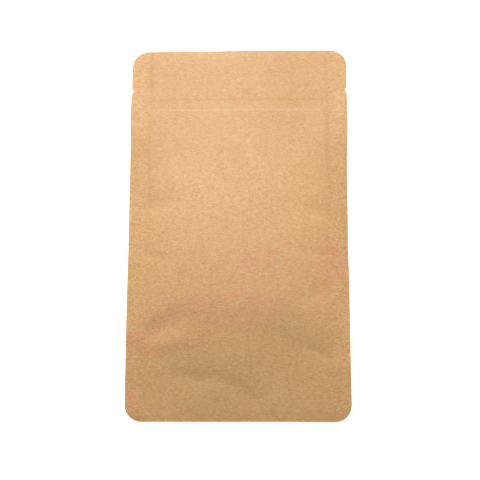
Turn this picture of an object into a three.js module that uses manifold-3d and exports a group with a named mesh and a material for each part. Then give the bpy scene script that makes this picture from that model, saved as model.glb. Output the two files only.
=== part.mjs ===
import * as THREE from 'three';
import { mergeVertices } from 'three/addons/utils/BufferGeometryUtils.js';
import Module from 'manifold-3d';

// An empty kraft-paper stand-up pouch for coffee, a little puffed by its folded gusset, on its back.
// Millimetres: X runs across the bag, +Y towards its mouth, +Z up from the face that it lies on.
// The origin is under the middle of the bag, on the flat of its back.

// Outline
const WIDTH = 130;
const LENGTH = 225;
const CORNER_RADIUS = 10;
const SEAL_WIDTH = 10;

// V-shaped tear notch in each side edge
const NOTCH_BELOW_MOUTH = 25.4;
const NOTCH_DEPTH = 1.5;
const NOTCH_HEIGHT = 3.2;

// Press-to-close strip, which pinches the front and the back together
const STRIP_BELOW_MOUTH = 30.8;
const STRIP_WIDTH = 6.5;
const STRIP_SHOULDER = 0.9;
const STRIP_PINCH = 0.1;

// The pockets at the two ends: between the lips of the mouth, down to the strip, and between the
// front and back skirts at the bottom, up to the fold of the gusset
const LIP_DEPTH = 27;
const LIP_GAP = 0.9;
const GUSSET_DEPTH = 37.5;
const GUSSET_GAP = 0.4;
const POCKET_SIDE = 4;

// Heights along the middle of the front: it swells over the folded gusset and sinks to the strip
const BOTTOM_HEIGHT = 1;
const BELLY_HEIGHT = 7.1;
const STRIP_HEIGHT = 5.35;
const MOUTH_HEIGHT = 6.2;
const BELLY_STARTS = -35;
const BELLY_ENDS = -20;
const NECK_Y = 60;
const SKIRT_CURVE = 1.3;
const CROSS_CURVE = 2.3;

// Heights of the sealed rim's upper side, along the two side edges
const SEAL_THICKNESS = 0.6;
const RIM_AT_BOTTOM = 0.9;
const RIM_AT_BELLY = 3;
const RIM_AT_MOUTH = 4.9;
const RIM_LEVEL_FROM = -65;
const RIM_CLIMBS_FROM = 5;
const RIM_CLIMBS_TO = 75;

// The back is flat along its middle, up to where the stiff mouth end starts to curl off the table
const FLAT_HALF_WIDTH = 18;
const CURL_FROM = 20;
const CURL_LIFT = 4.2;

// Fineness of the faceted surface
const CORNER_STEPS = 5;
const BELLY_ROWS = 23;
const PANEL_COLUMNS = 16;
const RIM_COLUMNS = 3;
const POCKET_COLUMNS = 12;
const POCKET_ROWS = 6;
const POCKET_OVERSHOOT = 2;

const KRAFT = 0xcba47a;

const halfWidth = WIDTH / 2;
const halfLength = LENGTH / 2;
const sealInner = halfWidth - SEAL_WIDTH;
const notchY = halfLength - NOTCH_BELOW_MOUTH;
const stripTop = halfLength - STRIP_BELOW_MOUTH;
const stripLow = stripTop - STRIP_WIDTH;

const { clamp, lerp } = THREE.MathUtils;

function smooth(value, low, high) {
  const t = clamp((value - low) / (high - low), 0, 1);
  return t * t * (3 - 2 * t);
}

// From 0 at the bottom edge to 1 at y: steep at first, then levelling out.
function swell(y, level) {
  const t = clamp((y + halfLength) / (level + halfLength), 0, 1);
  return Math.sin((Math.PI / 2) * t);
}

// Half the bag's width at y: straight sides with rounded corners and the two notches.
function edgeX(y) {
  const fromEnd = halfLength - Math.abs(y);
  const intoCorner = Math.max(CORNER_RADIUS - fromEnd, 0);
  const cornerInset = CORNER_RADIUS - Math.sqrt(CORNER_RADIUS ** 2 - intoCorner ** 2);
  const fromNotch = Math.abs(y - notchY) / (NOTCH_HEIGHT / 2);
  const notchInset = NOTCH_DEPTH * Math.max(1 - fromNotch, 0);
  return halfWidth - cornerInset - notchInset;
}

// 1 on the press-to-close strip and 0 off it, with a narrow shoulder on both sides.
function onStrip(y) {
  const below = smooth(y, stripLow - STRIP_SHOULDER, stripLow);
  const above = 1 - smooth(y, stripTop, stripTop + STRIP_SHOULDER);
  return below * above;
}

function rimHeight(y) {
  const low = lerp(RIM_AT_BOTTOM, RIM_AT_BELLY, swell(y, RIM_LEVEL_FROM));
  return low + (RIM_AT_MOUTH - RIM_AT_BELLY) * smooth(y, RIM_CLIMBS_FROM, RIM_CLIMBS_TO);
}

function middleHeight(y) {
  const low = lerp(BOTTOM_HEIGHT, BELLY_HEIGHT, swell(y, BELLY_STARTS) ** SKIRT_CURVE);
  const neck = (STRIP_HEIGHT - BELLY_HEIGHT) * smooth(y, BELLY_ENDS, NECK_Y);
  return low + neck + (MOUTH_HEIGHT - STRIP_HEIGHT) * smooth(y, stripLow, halfLength);
}

// The front before the strip pinches it: arched across, from one rim over the middle to the other.
function archHeight(x, y) {
  const arch = 1 - (Math.abs(x) / halfWidth) ** CROSS_CURVE;
  return lerp(rimHeight(y), middleHeight(y), arch);
}

function pinch(x, y) {
  return STRIP_PINCH * onStrip(y) * (1 - smooth(Math.abs(x), FLAT_HALF_WIDTH, sealInner));
}

function frontHeight(x, y) {
  return archHeight(x, y) - pinch(x, y);
}

function backHeight(x, y) {
  const flat = CURL_LIFT * smooth(y, CURL_FROM, halfLength);
  const outward = smooth(Math.abs(x), FLAT_HALF_WIDTH, sealInner);
  return lerp(flat, archHeight(x, y) - SEAL_THICKNESS, outward) + pinch(x, y);
}

// Places of the rows along the bag, closer together at the corners, strip, notches and seal.
function rowPlaces() {
  const rows = [stripLow - STRIP_SHOULDER, stripLow, stripTop, stripTop + STRIP_SHOULDER];
  rows.push(notchY - NOTCH_HEIGHT / 2, notchY, notchY + NOTCH_HEIGHT / 2);
  for (let k = 0; k <= CORNER_STEPS; k += 1) {
    const fromEnd = CORNER_RADIUS * (1 - Math.cos((Math.PI / 2) * (k / CORNER_STEPS)));
    rows.push(halfLength - fromEnd, fromEnd - halfLength);
  }
  const low = CORNER_RADIUS - halfLength;
  const high = stripLow - STRIP_SHOULDER;
  for (let k = 1; k < BELLY_ROWS; k += 1) {
    rows.push(lerp(low, high, k / BELLY_ROWS));
  }
  rows.push((notchY + NOTCH_HEIGHT / 2 + halfLength - CORNER_RADIUS) / 2);
  return rows.sort((a, b) => a - b);
}

// Places of the columns: even steps over the panel, then shorter ones over the sealed rim.
function columnPlaces(y) {
  const panel = sealInner - SEAL_WIDTH / (RIM_COLUMNS - 1);
  const rim = [];
  for (let k = 1; k <= RIM_COLUMNS; k += 1) {
    rim.push(lerp(panel, edgeX(y), k / RIM_COLUMNS));
  }
  const inner = [];
  for (let k = 0; k <= PANEL_COLUMNS; k += 1) {
    inner.push(lerp(-panel, panel, k / PANEL_COLUMNS));
  }
  const left = rim.map((x) => -x).reverse();
  return [...left, ...inner, ...rim];
}

// A closed body between an upper and a lower surface over one grid of points.
function closedBody(rows, columns, upper, lower) {
  const positions = [];
  for (const surface of [upper, lower]) {
    for (const y of rows) {
      for (const x of columns(y)) {
        positions.push(x, y, surface(x, y));
      }
    }
  }
  const wide = columns(rows[0]).length;
  const tall = rows.length;
  const at = (layer, row, column) => (layer * tall + row) * wide + column;
  const triangles = [];
  const quad = (a, b, c, d) => triangles.push([a, b, c], [a, c, d]);
  for (let j = 0; j + 1 < tall; j += 1) {
    for (let i = 0; i + 1 < wide; i += 1) {
      quad(at(0, j, i), at(0, j, i + 1), at(0, j + 1, i + 1), at(0, j + 1, i));
      quad(at(1, j, i), at(1, j + 1, i), at(1, j + 1, i + 1), at(1, j, i + 1));
    }
    quad(at(1, j, 0), at(0, j, 0), at(0, j + 1, 0), at(1, j + 1, 0));
    quad(at(1, j, wide - 1), at(1, j + 1, wide - 1), at(0, j + 1, wide - 1), at(0, j, wide - 1));
  }
  for (let i = 0; i + 1 < wide; i += 1) {
    quad(at(1, 0, i), at(1, 0, i + 1), at(0, 0, i + 1), at(0, 0, i));
    quad(at(1, tall - 1, i), at(0, tall - 1, i), at(0, tall - 1, i + 1), at(1, tall - 1, i + 1));
  }
  const geometry = new THREE.BufferGeometry();
  geometry.setAttribute('position', new THREE.Float32BufferAttribute(positions, 3));
  geometry.setIndex(triangles.flat());
  return withoutSlivers(mergeVertices(geometry));
}

// Drops the triangles that shrank to a line where points of the grid share one place.
function withoutSlivers(geometry) {
  const index = geometry.getIndex().array;
  const kept = [];
  for (let k = 0; k < index.length; k += 3) {
    const [a, b, c] = [index[k], index[k + 1], index[k + 2]];
    if (a !== b && b !== c && c !== a) {
      kept.push(a, b, c);
    }
  }
  geometry.setIndex(kept);
  return geometry;
}

// A thin pocket between front and back, open at one end of the bag and closing inwards.
function pocket(end, depth, gap) {
  const side = sealInner - POCKET_SIDE;
  const rows = [end * (halfLength + POCKET_OVERSHOOT)];
  for (let k = 0; k <= POCKET_ROWS; k += 1) {
    rows.push(end * (halfLength - (depth * k) / POCKET_ROWS));
  }
  rows.sort((a, b) => a - b);
  const places = [];
  for (let k = 0; k <= POCKET_COLUMNS; k += 1) {
    places.push(lerp(-side, side, k / POCKET_COLUMNS));
  }
  const middle = (x, y) => {
    const inside = clamp(y, -halfLength, halfLength);
    return (frontHeight(x, inside) + backHeight(x, inside)) / 2;
  };
  const halfGap = (x, y) => {
    const inwards = clamp((halfLength - Math.abs(y)) / depth, 0, 1);
    return (gap / 2) * (1 - (x / side) ** 2) * (1 - inwards);
  };
  const upper = (x, y) => middle(x, y) + halfGap(x, y);
  const lower = (x, y) => middle(x, y) - halfGap(x, y);
  return closedBody(rows, () => places, upper, lower);
}

function toSolid(wasm, geometry) {
  const mesh = new wasm.Mesh({
    numProp: 3,
    vertProperties: new Float32Array(geometry.getAttribute('position').array),
    triVerts: new Uint32Array(geometry.getIndex().array),
  });
  return new wasm.Manifold(mesh);
}

function toGeometry(solid) {
  const mesh = solid.getMesh();
  const geometry = new THREE.BufferGeometry();
  geometry.setAttribute('position', new THREE.BufferAttribute(mesh.vertProperties, 3));
  geometry.setIndex(new THREE.BufferAttribute(mesh.triVerts, 1));
  geometry.computeVertexNormals();
  return geometry;
}

function pouch(wasm) {
  const filled = toSolid(wasm, closedBody(rowPlaces(), columnPlaces, frontHeight, backHeight));
  const lips = toSolid(wasm, pocket(1, LIP_DEPTH, LIP_GAP));
  const gusset = toSolid(wasm, pocket(-1, GUSSET_DEPTH, GUSSET_GAP));
  const hollowed = filled.subtract(lips).subtract(gusset);
  const material = new THREE.MeshStandardMaterial({ color: KRAFT, roughness: 0.85, metalness: 0 });
  const mesh = new THREE.Mesh(toGeometry(hollowed), material);
  mesh.name = 'pouch';
  return mesh;
}

const wasm = await Module();
wasm.setup();

const coffeeBag = new THREE.Group();
coffeeBag.add(pouch(wasm));

export default coffeeBag;
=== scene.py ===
"""An empty kraft-paper stand-up pouch for coffee, lying on its back on a white table.

The pouch is two panels of paper laminate, sealed along both sides, with a gusset folded up
inside its bottom end and a press-to-close strip below its mouth. X runs across it, +Y towards
its mouth and +Z up. Blender's own unit is the metre. The pouch's named sizes are millimetres,
and MM turns them to metres where a mesh or a light takes them.
"""

import math

import bpy
import numpy as np
from mathutils import Matrix, Vector, noise


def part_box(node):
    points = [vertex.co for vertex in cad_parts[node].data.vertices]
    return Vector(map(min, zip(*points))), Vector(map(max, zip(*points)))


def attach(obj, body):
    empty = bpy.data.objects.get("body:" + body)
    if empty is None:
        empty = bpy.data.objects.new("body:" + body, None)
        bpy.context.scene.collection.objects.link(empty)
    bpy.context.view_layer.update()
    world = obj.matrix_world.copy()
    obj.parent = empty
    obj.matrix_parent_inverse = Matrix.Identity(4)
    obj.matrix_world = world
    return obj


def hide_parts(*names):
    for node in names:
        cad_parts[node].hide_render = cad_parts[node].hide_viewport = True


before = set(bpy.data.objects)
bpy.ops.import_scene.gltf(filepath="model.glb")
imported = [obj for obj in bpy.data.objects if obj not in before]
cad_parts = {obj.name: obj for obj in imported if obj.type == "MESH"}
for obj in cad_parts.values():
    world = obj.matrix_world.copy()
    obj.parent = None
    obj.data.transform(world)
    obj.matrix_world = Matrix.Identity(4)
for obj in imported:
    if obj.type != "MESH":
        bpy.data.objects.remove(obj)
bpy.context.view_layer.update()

MM = 0.001

# ---------------------------------------------------------------- sizes of the pouch

low_corner, high_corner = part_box("pouch")
HALF_WIDTH = (high_corner.x - low_corner.x) / 2 / MM
HALF_LENGTH = (high_corner.y - low_corner.y) / 2 / MM

CORNER_RADIUS = 10.0
SEAL_WIDTH = 10.0
SEAL_INNER = HALF_WIDTH - SEAL_WIDTH

NOTCH_Y = HALF_LENGTH - 25.4
NOTCH_DEPTH = 1.5
NOTCH_HALF_HEIGHT = 1.6
NOTCH_PULL = 5.0

STRIP_TOP = HALF_LENGTH - 30.8
STRIP_LOW = STRIP_TOP - 6.5

FOLD_Y = 37.5 - HALF_LENGTH
ARC_LOW_Y = 14.8 - HALF_LENGTH

# The two pockets: how far each reaches in from its end, and how wide the loose panels are there
LIP_REACH = HALF_LENGTH - STRIP_TOP - 2.0
GUSSET_REACH = HALF_LENGTH + FOLD_Y
LOOSE_HALF_WIDTH = SEAL_INNER - 3.0

# Half of the opening between a pocket's two panels, at its widest and where it closes
WIDEST_HALF_GAP = 0.9
LEAST_HALF_GAP = 0.02

# The laminate: one sheet, the two sheets of a lip, and the sealed rim above and below the fold
SHEET = 0.14
LIP = 2 * SHEET
RIM_UPPER = 2 * SHEET
RIM_LOWER = 4 * SHEET

# Heights above the table at places along the pouch, from its bottom edge to its mouth: the middle
# of the back, the sealed rims, and five lengthwise lines on the front. It rests on its belly and
# its bottom, is thickest over the folded gusset, and its stiff mouth end curls off the table.
BACK_LINE = ((-112.5, 0.1), (-95, 0.0), (20, 0.0), (45, 1.2), (68, 2.6), (90, 3.3), (112.5, 4.2))
LEFT_RIM = ((-112.5, 0.4), (-105, 0.95), (-96, 1.3), (-80, 2.2), (-60, 3.25), (-20, 3.3), (5, 3.3),
            (20, 3.35), (40, 3.75), (60, 4.3), (75, 4.4), (90, 4.45), (112.5, 4.9))
RIGHT_RIM = ((-112.5, 0.4), (-105, 1.0), (-90, 1.7), (-75, 2.3), (-62, 2.45), (-40, 2.1), (-20, 1.9),
             (0, 2.0), (20, 2.5), (40, 3.3), (60, 4.2), (75, 4.4), (90, 4.5), (112.5, 4.95))
FRONT_LINES = (
    (-42, ((-112.5, 0.9), (-100, 1.68), (-88, 2.55), (-76, 3.55), (-64, 4.6), (-54, 5.2), (-44, 5.6),
           (-30, 5.8), (-10, 5.8), (10, 5.55), (30, 5.2), (50, 4.85), (64, 4.85), (78, 5.0),
           (90, 5.25), (112.5, 5.95))),
    (-22, ((-112.5, 1.0), (-100, 2.0), (-88, 2.95), (-80, 3.85), (-69, 5.0), (-58, 5.85), (-48, 6.5),
           (-40, 6.75), (-25, 6.9), (-10, 6.85), (10, 6.3), (30, 5.6), (50, 5.05), (64, 4.9),
           (78, 4.85), (90, 5.05), (112.5, 5.5))),
    (0, ((-112.5, 1.0), (-100, 2.05), (-92, 2.95), (-84, 3.85), (-76, 4.7), (-64, 5.6), (-54, 6.4),
         (-46, 6.85), (-38, 7.05), (-20, 7.1), (-8, 7.0), (10, 6.55), (30, 5.9), (50, 5.5),
         (64, 5.4), (78, 5.4), (90, 5.57), (112.5, 6.25))),
    (22, ((-112.5, 1.0), (-100, 1.9), (-88, 2.8), (-76, 3.8), (-64, 4.8), (-54, 5.75), (-46, 6.3),
          (-38, 6.6), (-20, 6.7), (-8, 6.6), (10, 6.15), (30, 5.6), (50, 5.15), (64, 5.1),
          (78, 5.2), (90, 5.4), (112.5, 6.2))),
    (42, ((-112.5, 0.9), (-100, 1.75), (-88, 2.55), (-76, 3.35), (-66, 4.2), (-56, 5.0), (-44, 5.4),
          (-25, 5.5), (-8, 5.35), (10, 5.0), (30, 4.6), (50, 4.35), (64, 4.3), (78, 4.4),
          (90, 4.72), (112.5, 5.62))),
)

FLAT_HALF_WIDTH = 18.0

# How far the side edges stray outwards from straight lines, where the seals pucker
LEFT_STRAY = ((-112.5, -0.12), (-105, 0.0), (-70, 0.03), (-48, 0.06), (-21, 0.0), (-12, -0.1), (0, 0.0),
              (18, 0.1), (30, 0.03), (52, 0.1), (60, 0.22), (70, 0.5), (78, 0.48), (84, 0.1),
              (93, 0.1), (112.5, 0.08))
RIGHT_STRAY = ((-112.5, 0.6), (-105, 0.3), (-90, 0.17), (-60, 0.05), (-31, 0.08), (-21, -0.06),
               (-12, -0.3), (-2, -0.17), (33, -0.1), (43, 0.06), (57, 0.56), (67, 0.72), (80, 0.7),
               (87, 0.45), (93, 0.48), (103, 0.66), (112.5, 0.65))

# How far the bottom edge draws in along most of its length, and the front turns down to both ends
BOTTOM_HOLLOW = 0.2
BOTTOM_DROOP = 0.12
MOUTH_DROOP = 0.07

# The press-to-close strip shows through the paper as a soft upper step, and a crisp lower one whose
# height changes across the pouch
STEP_TOP = 0.05
STEP_LOW = ((-65, 0.03), (-50, 0.065), (-28, 0.07), (-20, 0.045), (0, 0.045), (8, 0.055), (40, 0.05),
            (50, 0.035), (65, 0.02))

# The gusset's curved seal is pressed thinner into the back, up to its arc
ARC_STEP = 0.06

# Fineness of the net of faces
COLUMNS_PER_CUT = 12
ROWS_PER_CUT = 16
POCKET_STEPS = 12
BACK, INNER_BACK, INNER_FRONT, FRONT = 0, 1, 2, 3

# The pouch's finishes, in the order in which they are put on it
PAPER, CUT_EDGE, FILM = 0, 1, 2

# How near to a side of the flat slab a corner or face counts as lying on it
ON_SIDE = 0.01


def smooth(value, low, high):
    """0 below low and 1 above high, with a soft rise between them."""
    t = np.clip((value - low) / (high - low), 0.0, 1.0)
    return t * t * (3.0 - 2.0 * t)


# ---------------------------------------------------------------- form of the pouch

def arc_y(x):
    """The gusset's curved seal: a circle through the fold's two ends and the lowest point."""
    rise = FOLD_Y - ARC_LOW_Y
    radius = (SEAL_INNER**2 + rise**2) / (2 * rise)
    across = np.minimum(np.abs(x), SEAL_INNER)
    return ARC_LOW_Y + radius - np.sqrt(radius**2 - across**2)


def flowing(place, stations):
    """A smooth line through stations (place, height), with no overshoot between them."""
    at, height = np.array(stations).T
    return lofted(place, at, height[:, None] * np.ones(np.size(place)))


def lofted(place, at, height):
    """The same line at each point, where every point has its own column of heights."""
    span = np.diff(at)[:, None]
    slope = np.diff(height, axis=0) / span
    before, after = slope[:-1], slope[1:]
    same = before * after > 0
    inner = np.where(same, 2 * before * after / np.where(same, before + after, 1.0), 0.0)
    tangent = np.concatenate((slope[:1], inner, slope[-1:]))
    k = np.clip(np.searchsorted(at, place) - 1, 0, len(span) - 1)
    point = np.arange(height.shape[1])
    reach = at[k + 1] - at[k]
    t = np.clip((place - at[k]) / reach, 0.0, 1.0)
    rise = (3 - 2 * t) * t**2
    line = height[k, point] * (1 - rise) + height[k + 1, point] * rise
    bend = (t - 2 * t**2 + t**3) * tangent[k, point] + (t**3 - t**2) * tangent[k + 1, point]
    return line + reach * bend


def strip_dip(x, y):
    """How deep the panel is pinched at the press-to-close strip."""
    top = STRIP_TOP - 0.4 + 0.25 * np.sin(x / 7.0) + 0.2 * np.sin(x / 3.1 + 1.0)
    below_top = STEP_TOP * (1.0 - smooth(y, top - 0.8, top + 0.8))
    settling = (flowing(x, STEP_LOW) - STEP_TOP) * (1.0 - smooth(y, STRIP_LOW, STRIP_TOP))
    return (below_top + settling) * smooth(y, STRIP_LOW - 0.9, STRIP_LOW)


def panel_inside(x):
    """1 on the loose panel and 0 on the side seals."""
    return 1.0 - smooth(np.abs(x), SEAL_INNER - 1.5, SEAL_INNER)


def front_panel(x, y):
    """The front, lofted across from edge to edge through its five lengthwise lines."""
    edges = [flowing(y, rim) + RIM_UPPER for rim in (LEFT_RIM, RIGHT_RIM)]
    lines = [flowing(y, stations) for _, stations in FRONT_LINES]
    at = np.array([-HALF_WIDTH, *(place for place, _ in FRONT_LINES), HALF_WIDTH])
    return lofted(x, at, np.stack((edges[0], *lines, edges[1])))


def back_height(x, y):
    """The back: flat along its middle, and from there up to the underside of the sealed rims."""
    middle = flowing(y, BACK_LINE)
    outward = smooth(np.abs(x), FLAT_HALF_WIDTH, SEAL_INNER)
    at_seal = front_panel(x, y) - RIM_UPPER
    arc = arc_y(x)
    on_arc_seal = (1.0 - smooth(y, arc - 0.5, arc + 0.5)) * panel_inside(x)
    pressed = strip_dip(x, y) * panel_inside(x) + ARC_STEP * on_arc_seal
    return middle + (at_seal - middle) * outward + pressed


def path_profile(x, y, path, width):
    """A soft bead, 1 high, along a path of straight stretches, fading to nothing at its ends."""
    nearest = np.full(x.shape, np.inf)
    reached = np.zeros(x.shape)
    stretches = list(zip(path, path[1:]))
    total = sum(math.dist(a, b) for a, b in stretches)
    done = 0.0
    for (ax, ay), (bx, by) in stretches:
        length = math.dist((ax, ay), (bx, by))
        t = np.clip(((x - ax) * (bx - ax) + (y - ay) * (by - ay)) / length**2, 0.0, 1.0)
        distance = np.hypot(x - ax - t * (bx - ax), y - ay - t * (by - ay))
        closer = distance < nearest
        nearest = np.where(closer, distance, nearest)
        reached = np.where(closer, (done + t * length) / total, reached)
        done += length
    fade = smooth(reached, 0.0, 0.15) * (1.0 - smooth(reached, 0.55, 1.0))
    return fade * np.exp(-((nearest / width) ** 2))


# Soft folds in the front panel: the path from its deep end, its half-width, and its height
FOLDS = (
    ([(-58, -65), (-44, -58.5), (-33, -52.5), (-21, -45.5)], 6.3, -0.5),
    ([(-54, -70), (-44, -68.3), (-28, -66), (-10, -63.5)], 4.0, 0.14),
    ([(57, -80), (50, -76), (42, -70.5), (31, -68), (20, -59), (8, -50)], 4.0, -0.15),
    ([(59, -79), (51, -75.5), (43, -71), (32, -70)], 1.8, -0.09),
    ([(-42, -85), (-30, -87), (-12, -88.5), (0, -93), (7, -98), (14, -99), (26, -95)], 4.0, -0.22),
    ([(-59, -13), (-48, -16), (-40, -20), (-36, -25)], 2.8, -0.13),
    ([(59, -13.5), (48, -16), (40, -14), (28, -11)], 2.2, -0.15),
    ([(60, -35), (50, -38), (42, -41), (30, -44)], 5.0, -0.16),
    ([(-60, 14.5), (-48, 15), (-38, 17), (-28, 24)], 5.5, -0.24),
    ([(62, 9), (48, 10), (40, 14), (33, 22)], 4.5, -0.22),
)

# Hard little creases that scuffed the paper: path, half-width and height
SCUFFS = (
    ([(-7.0, 58.0), (-3.5, 56.2), (1.5, 54.7), (6.0, 54.2), (9.0, 53.5)], 0.55, 0.05),
    ([(6.4, 50.0), (6.0, 54.2), (10.9, 62.4), (11.6, 64)], 0.55, 0.05),
    ([(5.0, 57.0), (6.0, 54.2), (7.5, 47.5), (8.3, 42.0)], 0.55, 0.05),
    ([(-4.5, 94.0), (-1.0, 94.2), (3.0, 94.1), (6.0, 94.2)], 0.45, 0.03),
    ([(13.0, 94.4), (16.0, 94.3), (20.0, 94.2), (22.0, 94.2)], 0.45, 0.03),
)


def fold_relief(x, y):
    return sum(height * path_profile(x, y, path, width) for path, width, height in FOLDS)


def scuff_strength(x, y):
    return sum(path_profile(x, y, path, width) for path, width, _ in SCUFFS)


def scuff_relief(x, y):
    return sum(height * path_profile(x, y, path, width) for path, width, height in SCUFFS)


# The paper is darker along the seals' inner edges, where the panel meets the seal, more in some places than
# in others
LEFT_SEAL_DARKENING = ((-112.5, 0.1), (-70, 0.2), (-20, 0.15), (15, 0.35), (30, 0.75), (68, 0.6), (74, 0.2),
                  (86, 0.3), (90, 1.0), (108, 1.0), (112.5, 0.7))
RIGHT_SEAL_DARKENING = ((-112.5, 0.1), (-70, 0.2), (-20, 0.15), (25, 0.3), (40, 0.7), (72, 0.9), (78, 0.3),
                   (90, 0.4), (108, 0.3), (112.5, 0.2))


# Where the paper's blotches are rosier: the middle of each place, and its half-sizes
ROSY_PLACES = ((-20, -49, 32, 15), (-53, -67, 17, 9), (-61, -101, 5, 13), (14, -18, 14, 9),
               (18, -43, 15, 8), (55, -23, 13, 31))


def rosiness(x, y):
    """About 1 inside the places where the blotches are rosier, fading to 0 around them."""
    total = np.zeros(x.shape)
    for middle_x, middle_y, across, along in ROSY_PLACES:
        off = ((x - middle_x) / across) ** 2 + ((y - middle_y) / along) ** 2
        total += np.exp(-(off**1.5))
    return np.clip(total, 0.0, 1.0)


def warm_patch(x, y):
    """1 on a small patch of the left seal, where the paper is warmer."""
    return np.exp(-(((x + 60.0) / 5.0) ** 2) - ((y - 52.0) / 7.0) ** 2)


def olive_tint_and_step_shade(x, y):
    """1 along a short yellowish streak over the right part of the strip's upper edge: partly the paper's own
    tint, partly painted shade that darkens the step's line there.
    """
    near_line = np.exp(-(((y - STRIP_TOP + 0.2) / 1.3) ** 2))
    return near_line * smooth(x, 8.0, 22.0) * (1.0 - smooth(x, 40.0, 50.0))


def seal_edge_darkening(x, y):
    """A narrow dark line just inside each side seal, in a broad faint one."""
    strength = np.where(x < 0, flowing(y, LEFT_SEAL_DARKENING), flowing(y, RIGHT_SEAL_DARKENING))
    narrow = np.exp(-(((np.abs(x) - SEAL_INNER + 1.8) / 1.4) ** 2))
    broad = np.exp(-(((np.abs(x) - SEAL_INNER + 3.0) / 5.0) ** 2))
    return strength * (0.75 * narrow + 0.3 * broad)


def grain_strength(x, y):
    """How strongly the paper's grain shows: more on the pressed seals, less towards the mouth."""
    return 0.95 + 0.3 * (1.0 - panel_inside(x)) - 0.17 * smooth(y, 0.0, 90.0)


def soft_unevenness(x, y, sizes_and_heights, lane):
    """Shallow rises and hollows of a few sizes in millimetres; lane picks another part of the pattern."""
    total = np.zeros(x.shape)
    for size, height in sizes_and_heights:
        waves = [noise.noise(Vector((a / size, b / size, lane))) for a, b in zip(x, y)]
        total += height * np.array(waves)
    return total


def front_height(x, y):
    on_seal = 1.0 - panel_inside(x)
    crisp = 1.0 - smooth(y, FOLD_Y - 0.5, FOLD_Y + 0.5)
    pressed = 1.0 - smooth(y, FOLD_Y - 9.0, FOLD_Y + 5.0)
    sealed_plies = smooth(np.abs(x), SEAL_INNER - 20.0, SEAL_INNER)
    gusset = (RIM_LOWER - RIM_UPPER) * (0.1 * crisp * on_seal + 0.9 * pressed * sealed_plies)
    pinch = strip_dip(x, y) * (1.0 - 0.85 * on_seal)
    relief = fold_relief(x, y) + scuff_relief(x, y)
    relief = relief + soft_unevenness(x, y, ((30.0, 0.13), (9.0, 0.016)), 3.7)
    held = 0.8 * smooth(np.abs(x), SEAL_INNER - 4.0, SEAL_INNER + 3.0)
    droop = BOTTOM_DROOP * (1.0 - smooth(y, -HALF_LENGTH, -HALF_LENGTH + 7.0))
    droop = droop + MOUTH_DROOP * smooth(y, HALF_LENGTH - 5.0, HALF_LENGTH)
    return front_panel(x, y) + gusset - pinch - droop + relief * (1.0 - held)


# ---------------------------------------------------------------- the net of faces

def activate(piece):
    bpy.ops.object.select_all(action="DESELECT")
    piece.select_set(True)
    bpy.context.view_layer.objects.active = piece


def corner_places(piece):
    places = np.empty(len(piece.data.vertices) * 3)
    piece.data.vertices.foreach_get("co", places)
    return places.reshape(-1, 3)


def face_places(piece):
    places = np.empty(len(piece.data.polygons) * 3)
    piece.data.polygons.foreach_get("center", places)
    return places.reshape(-1, 3)


def select_only(piece, corners=None, edges=None, faces=None):
    """Selects the marked corners, edges or faces of a mesh and nothing else, for the next edit."""
    mesh = piece.data
    for kind, chosen in ((mesh.vertices, corners), (mesh.edges, edges), (mesh.polygons, faces)):
        marked = np.zeros(len(kind), bool) if chosen is None else chosen
        kind.foreach_set("select", marked)
    modes = (corners is not None, edges is not None, faces is not None)
    bpy.context.tool_settings.mesh_select_mode = modes


def cut_along(piece, axis, parts):
    """Cuts every edge that runs along one axis into equal parts."""
    places = corner_places(piece)
    ends = np.empty(len(piece.data.edges) * 2, int)
    piece.data.edges.foreach_get("vertices", ends)
    ends = ends.reshape(-1, 2)
    run = np.abs(places[ends[:, 0], axis] - places[ends[:, 1], axis])
    select_only(piece, edges=run > 1e-6)
    bpy.ops.object.mode_set(mode="EDIT")
    bpy.ops.mesh.subdivide(number_cuts=parts - 1)
    bpy.ops.object.mode_set(mode="OBJECT")


def push_in(piece, faces, steps, depth):
    """Pushes the chosen end faces into the slab in equal steps, which opens a pocket."""
    select_only(piece, faces=faces)
    bpy.ops.object.mode_set(mode="EDIT")
    for _ in range(steps):
        bpy.ops.mesh.extrude_region_move(TRANSFORM_OT_translate={"value": (0, depth / steps, 0)})
    bpy.ops.object.mode_set(mode="OBJECT")


def gathered(half, lines, pull, reach):
    """A map from even places to places that crowd together near the named lines, and hit them."""
    even = np.linspace(-half, half, 4001)
    density = np.ones(even.shape)
    for line in lines:
        density += pull * np.exp(-(((even - line) / reach) ** 2))
    share = np.concatenate(([0.0], np.cumsum((density[1:] + density[:-1]) / 2)))
    share = share / share[-1] * 2 * half - half
    return lambda place: np.interp(place, share, even)


def flat_blank():
    """The slab that the pouch is shaped from: three layers thick, with a fine net of faces."""
    bpy.ops.object.select_all(action="DESELECT")
    size = (2 * HALF_WIDTH * MM, 2 * HALF_LENGTH * MM, FRONT * MM)
    bpy.ops.mesh.primitive_cube_add(size=1, location=(0, 0, FRONT * MM / 2))
    piece = bpy.context.object
    piece.name = "pouch_bag"
    piece.scale = size
    bpy.ops.object.transform_apply(location=True, rotation=True, scale=True)
    for parts in (COLUMNS_PER_CUT, COLUMNS_PER_CUT):
        cut_along(piece, 0, parts)
    for parts in (ROWS_PER_CUT, ROWS_PER_CUT):
        cut_along(piece, 1, parts)
    cut_along(piece, 2, FRONT)
    return piece


def open_pockets(piece):
    """Opens the mouth down to the strip, and the pocket under the gusset up to its fold."""
    for end, depth in ((1, LIP_REACH), (-1, GUSSET_REACH)):
        centres = face_places(piece) / MM
        at_end = centres[:, 1] * end > HALF_LENGTH - ON_SIDE
        between = (centres[:, 2] > INNER_BACK) & (centres[:, 2] < INNER_FRONT)
        loose = np.abs(centres[:, 0]) < LOOSE_HALF_WIDTH
        push_in(piece, at_end & between & loose, POCKET_STEPS, -end * depth * MM)


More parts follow.
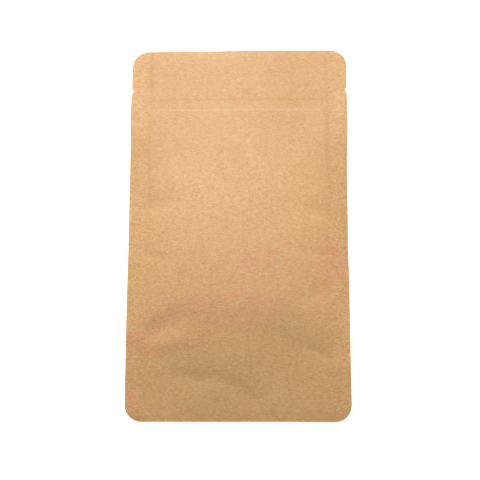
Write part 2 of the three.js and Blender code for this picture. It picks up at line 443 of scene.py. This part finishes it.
def rounded(x, y):
    """Moves the slab's square corners in to quarter circles."""
    a = np.clip((np.abs(x) - HALF_WIDTH + CORNER_RADIUS) / CORNER_RADIUS, 0.0, 1.0)
    b = np.clip((np.abs(y) - HALF_LENGTH + CORNER_RADIUS) / CORNER_RADIUS, 0.0, 1.0)
    both = (a > 0) & (b > 0)
    new_x = HALF_WIDTH - CORNER_RADIUS + CORNER_RADIUS * a * np.sqrt(1 - b**2 / 2)
    new_y = HALF_LENGTH - CORNER_RADIUS + CORNER_RADIUS * b * np.sqrt(1 - a**2 / 2)
    return np.where(both, np.sign(x) * new_x, x), np.where(both, np.sign(y) * new_y, y)


def notched(x, y):
    """Pulls the rim in to a V at the notches, lets the sides stray, and draws the bottom edge in."""
    into = np.clip(1.0 - np.abs(y - NOTCH_Y) / NOTCH_HALF_HEIGHT, 0.0, 1.0)
    near_edge = np.clip((np.abs(x) - HALF_WIDTH + NOTCH_PULL) / NOTCH_PULL, 0.0, 1.0)
    stray = np.where(x > 0, flowing(y, RIGHT_STRAY), flowing(y, LEFT_STRAY))
    outward = np.clip((np.abs(x) - FLAT_HALF_WIDTH) / (HALF_WIDTH - FLAT_HALF_WIDTH), 0.0, 1.0)
    hollow = BOTTOM_HOLLOW * (1.0 - smooth(x, 20.0, 55.0)) * smooth(x, -65.0, -50.0)
    near_bottom = 1.0 - smooth(y, -HALF_LENGTH, FOLD_Y)
    return x + np.sign(x) * (stray * outward - NOTCH_DEPTH * into * near_edge), y + hollow * near_bottom


def shape_pouch(piece):
    """Gives every corner of the slab its place on the real, slightly puffed pouch."""
    places = corner_places(piece) / MM
    layer = np.rint(places[:, 2]).astype(int)
    columns = gathered(HALF_WIDTH, (-SEAL_INNER, SEAL_INNER), pull=1.0, reach=2.5)
    lines = (STRIP_LOW, STRIP_TOP, NOTCH_Y, FOLD_Y, HALF_LENGTH, -HALF_LENGTH)
    rows = gathered(HALF_LENGTH, lines, pull=2.2, reach=2.0)
    x, y = rounded(columns(places[:, 0]), rows(places[:, 1]))
    x, y = notched(x, y)
    front = front_height(x, y)
    back = np.minimum(back_height(x, y), front - LIP)
    on_side = np.abs(places[:, 0]) > HALF_WIDTH - ON_SIDE
    sealed = on_side | (np.abs(x) > LOOSE_HALF_WIDTH)
    middle = (front + back) / 2
    depth_in = HALF_LENGTH - np.abs(y)
    pocket = np.where(y > 0, LIP_REACH, GUSSET_REACH)
    closing = 1.0 - smooth(depth_in, 0.3 * pocket, pocket)
    half_gap = np.maximum((front - back) / 2 - LIP, 0.0) * closing
    half_gap = np.minimum(half_gap, WIDEST_HALF_GAP) + LEAST_HALF_GAP
    half_gap = np.where(sealed, (front - back) / 6, half_gap)
    z = np.select(
        [layer == FRONT, layer == INNER_FRONT, layer == INNER_BACK],
        [front, middle + half_gap, middle - half_gap],
        back,
    )
    shaped = np.column_stack((x, y, z)) * MM
    piece.data.vertices.foreach_set("co", shaped.ravel())
    mark(piece, "scuff", np.where(layer == FRONT, np.clip(scuff_strength(x, y), 0.0, 1.0), 0.0))
    mark(piece, "seal_edge_darkening", seal_edge_darkening(x, y))
    mark(piece, "grain", grain_strength(x, y))
    mark(piece, "rosy", np.where(layer == FRONT, rosiness(x, y), 0.0))
    mark(piece, "olive_and_step_shade", np.where(layer == FRONT, olive_tint_and_step_shade(x, y), 0.0))
    mark(piece, "warm", np.where(layer == FRONT, warm_patch(x, y), 0.0))
    piece.data.update()


def mark(piece, name, values):
    """Keeps a value at each corner of the mesh, for a finish to read."""
    attribute = piece.data.attributes.new(name, "FLOAT", "POINT")
    attribute.data.foreach_set("value", values)


# ---------------------------------------------------------------- finishes

def srgb(hex_value):
    """A colour written as sRGB hex, as the linear numbers that a shader takes."""
    channels = [int(hex_value[k : k + 2], 16) / 255 for k in (1, 3, 5)]
    linear = [c / 12.92 if c <= 0.04045 else ((c + 0.055) / 1.055) ** 2.4 for c in channels]
    return (*linear, 1.0)


def add(tree, kind, inputs=None, **settings):
    """Adds one node with its settings; an input is a plain value or the socket that feeds it."""
    node = tree.nodes.new(kind)
    for name, value in settings.items():
        setattr(node, name, value)
    for name, value in (inputs or {}).items():
        if isinstance(value, bpy.types.NodeSocket):
            tree.links.new(value, node.inputs[name])
        else:
            node.inputs[name].default_value = value
    return node


def new_finish(name):
    finish = bpy.data.materials.new(name)
    finish.use_nodes = True
    tree = finish.node_tree
    tree.nodes.clear()
    surface = add(tree, "ShaderNodeBsdfPrincipled")
    output = add(tree, "ShaderNodeOutputMaterial", {"Surface": surface.outputs["BSDF"]})
    output.location = (300, 0)
    return finish, tree, surface


def in_millimetres(tree):
    """The place on the piece, in millimetres."""
    place = add(tree, "ShaderNodeTexCoord").outputs["Object"]
    scaled = add(tree, "ShaderNodeVectorMath", {0: place, 1: (1000, 1000, 1000)}, operation="MULTIPLY")
    return scaled.outputs["Vector"]


def weighted(tree, parts, start):
    """start plus each pattern in parts times its weight."""
    total = start
    for pattern, weight in parts:
        step = add(tree, "ShaderNodeMath", {0: pattern, 1: weight, 2: total}, operation="MULTIPLY_ADD")
        total = step.outputs["Value"]
    return total


def overlaid(tree, colour, overlays):
    """The colour with each layer laid over it: its tint, its pattern, and how strong it gets."""
    for tint, pattern, strength in overlays:
        amount = add(tree, "ShaderNodeMath", {0: pattern, 1: strength}, operation="MULTIPLY")
        inputs = {"Factor": amount.outputs["Value"], "A": colour, "B": srgb(tint)}
        colour = add(tree, "ShaderNodeMix", inputs, data_type="RGBA").outputs["Result"]
    return colour


def fibres(tree, place, turn, length, width):
    """Fibres that lie one way: fine noise, drawn out along them."""
    along = add(tree, "ShaderNodeMapping", {"Vector": place, "Rotation": (0, 0, math.radians(turn))})
    stretch = {"Vector": along.outputs["Vector"], "Scale": (1 / length, 1 / width, 1 / width)}
    drawn = add(tree, "ShaderNodeMapping", stretch)
    pattern = {"Vector": drawn.outputs["Vector"], "Scale": 1.0, "Detail": 1.0, "Roughness": 0.5}
    return add(tree, "ShaderNodeTexNoise", pattern).outputs["Fac"]


def kraft_paper():
    """Unbleached kraft paper, made on a machine and laminated to film on its inner side.

    Its brown fibres are 1 to 3 mm long and thinner than a hair, so they are drawn about ten times
    as wide here, to show. They give a fine speckle with a slight grain across the bag, over very
    faint clouds where the pulp lay thicker. The face is lightly calendered: seen flat-on it
    has a weak broad sheen, which its raised fibre ends hide when it is seen along the sheet. Its
    warmth shifts a little from place to place.
    """
    finish, tree, surface = new_finish("kraft_paper")
    place = in_millimetres(tree)
    speckle = add(tree, "ShaderNodeTexNoise",
                  {"Vector": place, "Scale": 1 / 1.0, "Detail": 2.0, "Roughness": 0.75}).outputs["Fac"]
    across = fibres(tree, place, 4.0, 2.0, 0.85)
    slanted = fibres(tree, place, 68.0, 2.2, 0.6)
    clouds = add(tree, "ShaderNodeTexNoise",
                 {"Vector": place, "Scale": 1 / 9.0, "Detail": 2.0, "Roughness": 0.5}).outputs["Fac"]
    parts = ((speckle, 0.8), (across, 0.74), (slanted, 0.32), (clouds, 0.12))
    even = weighted(tree, parts, -0.5 * sum(weight for _, weight in parts))
    grain = add(tree, "ShaderNodeAttribute", attribute_name="grain").outputs["Fac"]
    tone = add(tree, "ShaderNodeMath", {0: even, 1: grain, 2: 0.5},
               operation="MULTIPLY_ADD").outputs["Value"]

    ramp = add(tree, "ShaderNodeValToRGB", {"Fac": tone})
    ramp.color_ramp.elements[0].position = 0.0
    ramp.color_ramp.elements[0].color = srgb("#b9833e")
    ramp.color_ramp.elements[1].position = 1.0
    ramp.color_ramp.elements[1].color = srgb("#e1b888")

    rosy_place = add(tree, "ShaderNodeAttribute", attribute_name="rosy").outputs["Fac"]
    blotches = add(tree, "ShaderNodeTexNoise",
                   {"Vector": place, "Scale": 1 / 8.0, "Detail": 4.0, "Roughness": 0.75}).outputs["Fac"]
    raised = add(tree, "ShaderNodeMath", {0: rosy_place, 1: 0.16, 2: blotches}, operation="MULTIPLY_ADD")
    rosy = add(tree, "ShaderNodeMapRange",
               {"Value": raised.outputs["Value"], "From Min": 0.59, "From Max": 0.635, "To Max": 0.95},
               interpolation_type="SMOOTHSTEP").outputs["Result"]
    colour = add(tree, "ShaderNodeHueSaturation",
                 {"Hue": 0.486, "Value": 1.045, "Fac": rosy, "Color": ramp.outputs["Color"]}).outputs["Color"]
    # how much darker the paper is along the seals' inner edges
    seal_edge_dark = add(tree, "ShaderNodeAttribute", attribute_name="seal_edge_darkening").outputs["Fac"]
    scuff = add(tree, "ShaderNodeAttribute", attribute_name="scuff").outputs["Fac"]
    warm = add(tree, "ShaderNodeAttribute", attribute_name="warm").outputs["Fac"]
    # a yellowish tint on the strip's upper step, partly painted shade of that step
    olive_and_step_shade = add(tree, "ShaderNodeAttribute", attribute_name="olive_and_step_shade").outputs["Fac"]
    # Over the paper: a warmer patch on the left seal, a yellowish streak that is partly painted shade of the
    # strip's upper step, a darker line along the seals' inner edges, and paler scuffed creases
    overlays = (("#cf9452", warm, 0.4), ("#c9983f", olive_and_step_shade, 0.25), ("#ab7a3c", seal_edge_dark, 0.3),
              ("#e3bd8f", scuff, 0.3))
    colour = overlaid(tree, colour, overlays)

    tree.links.new(colour, surface.inputs["Base Color"])
    facing = add(tree, "ShaderNodeLayerWeight", {"Blend": 0.5}).outputs["Facing"]
    slant = {"Value": facing, "From Min": 0.15, "From Max": 0.65}
    roughness = add(tree, "ShaderNodeMapRange", {**slant, "To Min": 0.45, "To Max": 0.95})
    tree.links.new(roughness.outputs["Result"], surface.inputs["Roughness"])
    sheen = add(tree, "ShaderNodeMapRange", {**slant, "To Min": 0.5, "To Max": 0.15})
    tree.links.new(sheen.outputs["Result"], surface.inputs["Specular IOR Level"])
    bumps = weighted(tree, ((speckle, 0.6), (across, 0.4)), 0.0)
    height = add(tree, "ShaderNodeBump", {"Height": bumps, "Distance": 0.12 * MM, "Strength": 1.0})
    tree.links.new(height.outputs["Normal"], surface.inputs["Normal"])
    return finish


def cut_edge():
    """The laminate's cut edge, all round the pouch and at its two lips.

    Cut fibre ends show between the face of the paper and the film: a rougher, duller line than the
    face, that changes tone every half millimetre or so along its length.
    """
    finish, tree, surface = new_finish("cut_paper_edge")
    place = in_millimetres(tree)
    ends = add(tree, "ShaderNodeTexNoise",
               {"Vector": place, "Scale": 1 / 0.5, "Detail": 2.0, "Roughness": 0.6}).outputs["Fac"]
    ramp = add(tree, "ShaderNodeValToRGB", {"Fac": ends})
    ramp.color_ramp.elements[0].position = 0.3
    ramp.color_ramp.elements[0].color = srgb("#a57a47")
    ramp.color_ramp.elements[1].position = 0.7
    ramp.color_ramp.elements[1].color = srgb("#d4ab78")
    tree.links.new(ramp.outputs["Color"], surface.inputs["Base Color"])
    surface.inputs["Roughness"].default_value = 0.8
    return finish


def film_lining():
    """The inner side of the laminate: the same paper, seen through a clear film of polythene.

    The film wets the fibres' tone to a deeper brown. It is smooth and glossy, with a faint orange
    peel from the hot rollers that pressed it on, so it takes a narrow highlight.
    """
    finish, tree, surface = new_finish("film_lined_paper")
    place = in_millimetres(tree)
    across = fibres(tree, place, 4.0, 2.0, 0.85)
    ramp = add(tree, "ShaderNodeValToRGB", {"Fac": across})
    ramp.color_ramp.elements[0].position = 0.2
    ramp.color_ramp.elements[0].color = srgb("#9c6b35")
    ramp.color_ramp.elements[1].position = 0.8
    ramp.color_ramp.elements[1].color = srgb("#c39560")
    tree.links.new(ramp.outputs["Color"], surface.inputs["Base Color"])
    surface.inputs["Roughness"].default_value = 0.5
    surface.inputs["Coat Weight"].default_value = 0.8
    surface.inputs["Coat Roughness"].default_value = 0.15
    peel = add(tree, "ShaderNodeTexNoise", {"Vector": place, "Scale": 1 / 1.5, "Detail": 1.0})
    uneven = {"Height": peel.outputs["Fac"], "Distance": 0.01 * MM, "Strength": 1.0}
    bump = add(tree, "ShaderNodeBump", uneven).outputs["Normal"]
    tree.links.new(bump, surface.inputs["Coat Normal"])
    return finish


def put_on_finishes(piece):
    """Paper outside and under the gusset, film between the lips, and the cut edge all round."""
    for finish in (kraft_paper(), cut_edge(), film_lining()):
        piece.data.materials.append(finish)
    x, y, layer = face_places(piece).T / MM
    outer = (layer < BACK + ON_SIDE) | (layer > FRONT - ON_SIDE)
    rim = (np.abs(x) > HALF_WIDTH - ON_SIDE) | (np.abs(y) > HALF_LENGTH - ON_SIDE)
    kinds = np.select([outer, rim, y > 0], [PAPER, CUT_EDGE, FILM], PAPER)
    piece.data.polygons.foreach_set("material_index", kinds)


def pouch():
    piece = flat_blank()
    open_pockets(piece)
    put_on_finishes(piece)
    shape_pouch(piece)
    activate(piece)
    bpy.ops.object.shade_smooth_by_angle(angle=math.radians(40))
    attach(piece, "root")
    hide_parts("pouch")
    return piece


# ---------------------------------------------------------------- table, light and camera

def table():
    bpy.ops.object.select_all(action="DESELECT")
    bpy.ops.mesh.primitive_plane_add(size=8.0, location=(0, 0, -0.02 * MM))
    floor = bpy.context.object
    floor.name = "table"
    finish, tree, surface = new_finish("white_table")
    surface.inputs["Base Color"].default_value = srgb("#f4f4f4")
    surface.inputs["Roughness"].default_value = 0.9
    surface.inputs["Emission Color"].default_value = (1, 1, 1, 1)
    surface.inputs["Emission Strength"].default_value = 0.75
    floor.data.materials.append(finish)


def soft_light(name, place, aim, size, power):
    lamp = bpy.data.lights.new(name, "AREA")
    lamp.shape = "RECTANGLE"
    lamp.size, lamp.size_y = size
    lamp.energy = power
    holder = bpy.data.objects.new(name, lamp)
    bpy.context.scene.collection.objects.link(holder)
    holder.location = place
    holder.rotation_euler = (Vector(aim) - Vector(place)).to_track_quat("-Z", "Y").to_euler()
    return holder


def studio():
    """A white room: bright where its walls meet the table, dim above, with two soft lights."""
    world = bpy.data.worlds.new("white_room")
    bpy.context.scene.world = world
    world.use_nodes = True
    tree = world.node_tree
    place = add(tree, "ShaderNodeTexCoord").outputs["Generated"]
    height = add(tree, "ShaderNodeSeparateXYZ", {"Vector": place}).outputs["Z"]
    wall = {"Value": height, "From Min": 0.2, "From Max": 0.35, "To Min": 1.0, "To Max": 0.115}
    glow = add(tree, "ShaderNodeMapRange", wall).outputs["Result"]
    tree.links.new(glow, tree.nodes["Background"].inputs["Strength"])
    tree.nodes["Background"].inputs["Color"].default_value = (1, 1, 1, 1)
    soft_light("window", (-0.11, 1.15, 0.54), (0, 0, 0), (1.0, 0.6), 29.0)
    soft_light("ceiling_panel", (-0.15, 0.70, 1.15), (0, 0.05, 0), (0.5, 0.3), 5.5)
    bpy.context.scene.view_settings.view_transform = "Standard"


def camera():
    """A long lens above the pouch, leaning back a little towards its bottom end."""
    lens = bpy.data.cameras.new("camera")
    lens.lens = 90.0
    lens.sensor_width = 36.0
    lens.clip_start = 0.05
    lens.clip_end = 20.0
    holder = bpy.data.objects.new("camera", lens)
    bpy.context.scene.collection.objects.link(holder)
    place = Vector((27.4, -175.0, 690.7)) * MM
    aim = Vector((1.07, -5.7, 2.0)) * MM
    back = (place - aim).normalized()
    right = Vector((0, 1, 0)).cross(back).normalized()
    turn = Matrix((right, back.cross(right), back)).transposed().to_4x4()
    roll = Matrix.Rotation(math.radians(0.21), 4, "Z")
    holder.matrix_world = Matrix.Translation(place) @ turn @ roll
    bpy.context.scene.camera = holder


camera()
pouch()
table()
studio()
